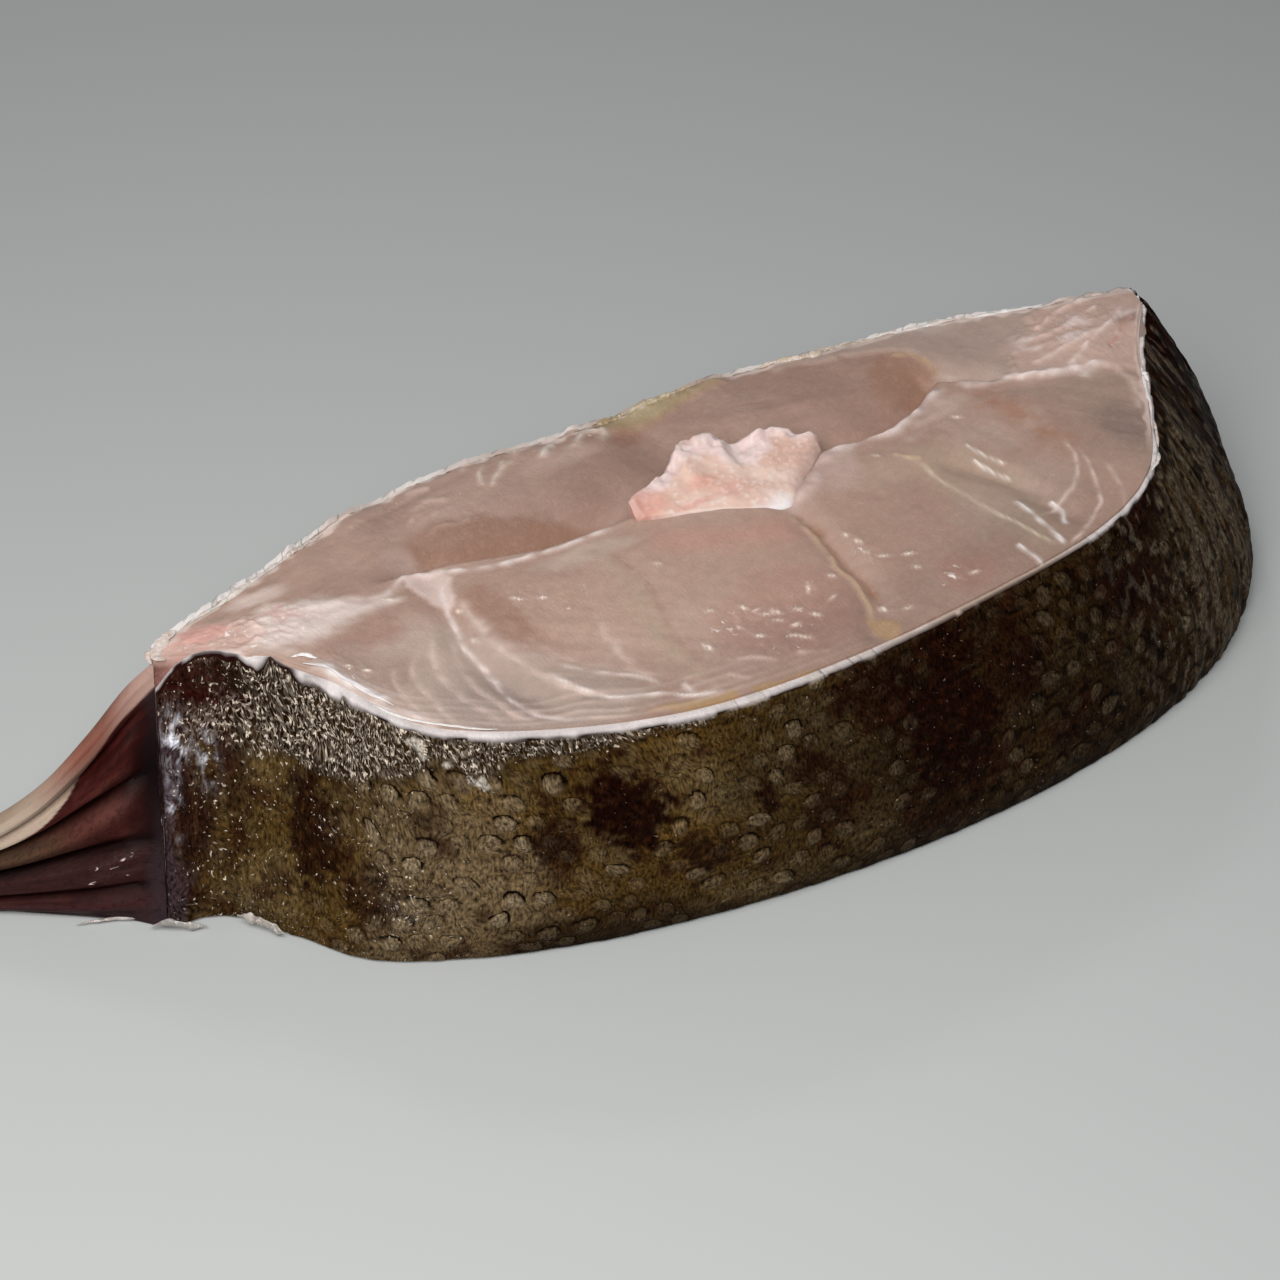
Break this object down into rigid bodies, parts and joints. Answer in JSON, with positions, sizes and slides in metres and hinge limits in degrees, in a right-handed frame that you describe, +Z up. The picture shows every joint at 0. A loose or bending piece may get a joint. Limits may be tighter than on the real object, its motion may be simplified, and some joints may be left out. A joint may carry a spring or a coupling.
{
  "type": "halibut steak",
  "caption": "Thick raw halibut steak lying on its cut face, with dark skin on the near side, pale skin behind, a cut backbone and a folded fin at one end.",
  "frame": {"origin": "on the resting plane, under the middle of the whole part's box", "axes": "+X along the slice from the fin to the blunt end, +Y towards the pale skin, +Z up"},
  "size_m": [0.3094, 0.1126, 0.0548],
  "materials": {
    "flesh": "wet translucent raw fish, pale pink-grey, glossy",
    "backbone": "broken pink bone and cartilage, moist",
    "dark_skin": "scaled olive-brown fish skin, wet",
    "pale_skin": "scaled cream fish skin, wet",
    "fin": "maroon fin membrane over rays, cream upper edge, wet"
  },
  "bodies": {
    "root": {"flesh": "flesh", "backbone": "backbone", "dark_skin": "dark_skin", "pale_skin": "pale_skin", "fin": "fin"}
  },
  "joints": []
}
